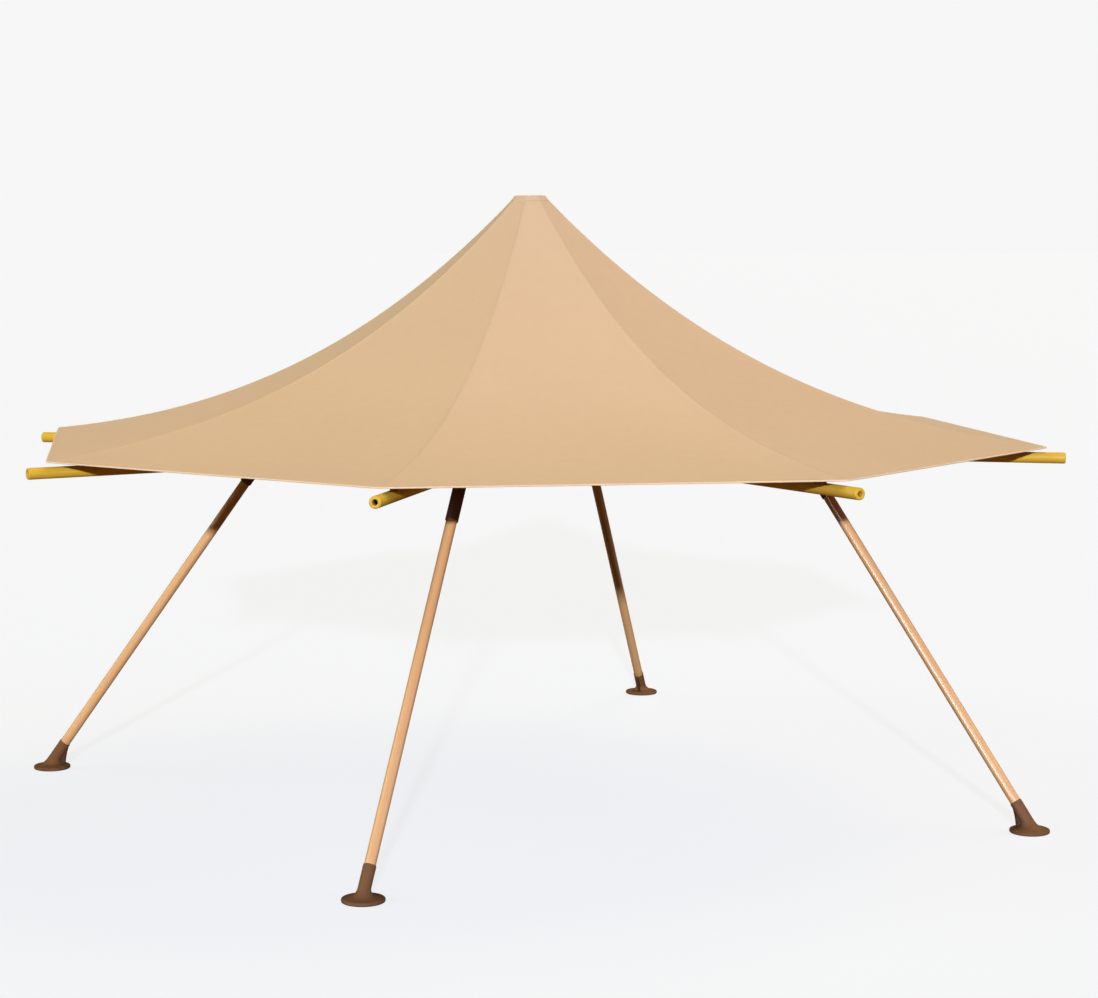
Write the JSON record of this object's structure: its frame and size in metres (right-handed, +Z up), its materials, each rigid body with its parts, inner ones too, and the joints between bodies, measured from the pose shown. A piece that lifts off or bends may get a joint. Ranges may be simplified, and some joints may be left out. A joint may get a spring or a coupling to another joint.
{
  "type": "tipi tent",
  "caption": "Open-sided tipi tent: a pointed fabric canopy stretched over radial tubes, standing on splayed round legs with disc feet.",
  "frame": {"origin": "on the floor, under the peak of the canopy", "axes": "+Z up; the four legs stand under the tubes along +X, +Y, -X and -Y"},
  "size_m": [6.6, 6.6, 3.7028],
  "materials": {
    "fabric": "matte beige canvas",
    "tube_paint": "satin yellow",
    "leg_metal": "satin copper tan",
    "moulding": "matt brown moulding",
    "steel": "satin grey"
  },
  "bodies": {
    "root": {"canopy_gore_1": "fabric", "canopy_gore_2": "fabric", "canopy_gore_3": "fabric", "canopy_gore_4": "fabric", "canopy_gore_5": "fabric", "canopy_gore_6": "fabric", "canopy_gore_7": "fabric", "canopy_gore_8": "fabric", "crown_patch": "fabric", "crown_plate": "moulding", "king_post": "steel", "centre_hub": "moulding", "radial_tube_1": "tube_paint", "radial_tube_2": "tube_paint", "radial_tube_3": "tube_paint", "radial_tube_4": "tube_paint", "radial_tube_5": "tube_paint", "radial_tube_6": "tube_paint", "radial_tube_7": "tube_paint", "radial_tube_8": "tube_paint", "corner_saddle_1": "moulding", "corner_saddle_2": "moulding", "corner_saddle_3": "moulding", "corner_saddle_4": "moulding", "corner_saddle_5": "moulding", "corner_saddle_6": "moulding", "corner_saddle_7": "moulding", "corner_saddle_8": "moulding", "leg_1": "leg_metal", "leg_1_bracket": "moulding", "leg_1_foot": "moulding", "leg_2": "leg_metal", "leg_2_bracket": "moulding", "leg_2_foot": "moulding", "leg_3": "leg_metal", "leg_3_bracket": "moulding", "leg_3_foot": "moulding", "leg_4": "leg_metal", "leg_4_bracket": "moulding", "leg_4_foot": "moulding"}
  },
  "joints": []
}
